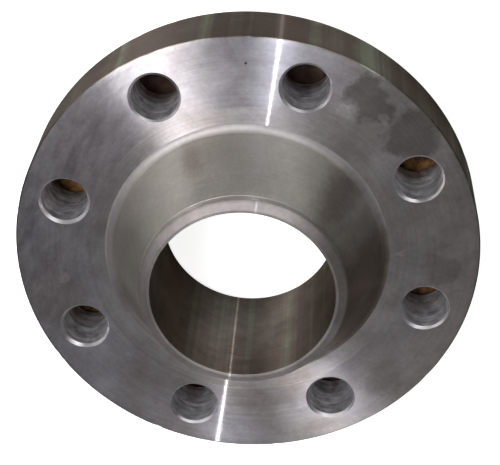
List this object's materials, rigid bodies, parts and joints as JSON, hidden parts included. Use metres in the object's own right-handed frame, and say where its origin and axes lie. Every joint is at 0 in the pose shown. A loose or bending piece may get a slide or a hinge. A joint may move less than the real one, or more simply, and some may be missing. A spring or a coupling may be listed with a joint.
{
  "type": "weld neck flange",
  "caption": "Round steel pipe flange with a bolt circle and a tapered hub whose bevelled end is butt-welded to a pipe.",
  "frame": {"origin": "centre of the gasket seat (the raised face), on the bore's axis, at the flange's lowest level", "axes": "+Z along the bore from the gasket seat to the weld end; the bolt holes straddle the X and Y axes"},
  "size_m": [0.27, 0.27, 0.0889],
  "materials": {
    "turned_steel": "lathe-turned, bare, lightly oiled"
  },
  "bodies": {
    "root": {"weld_neck_flange": "turned_steel"}
  },
  "joints": []
}
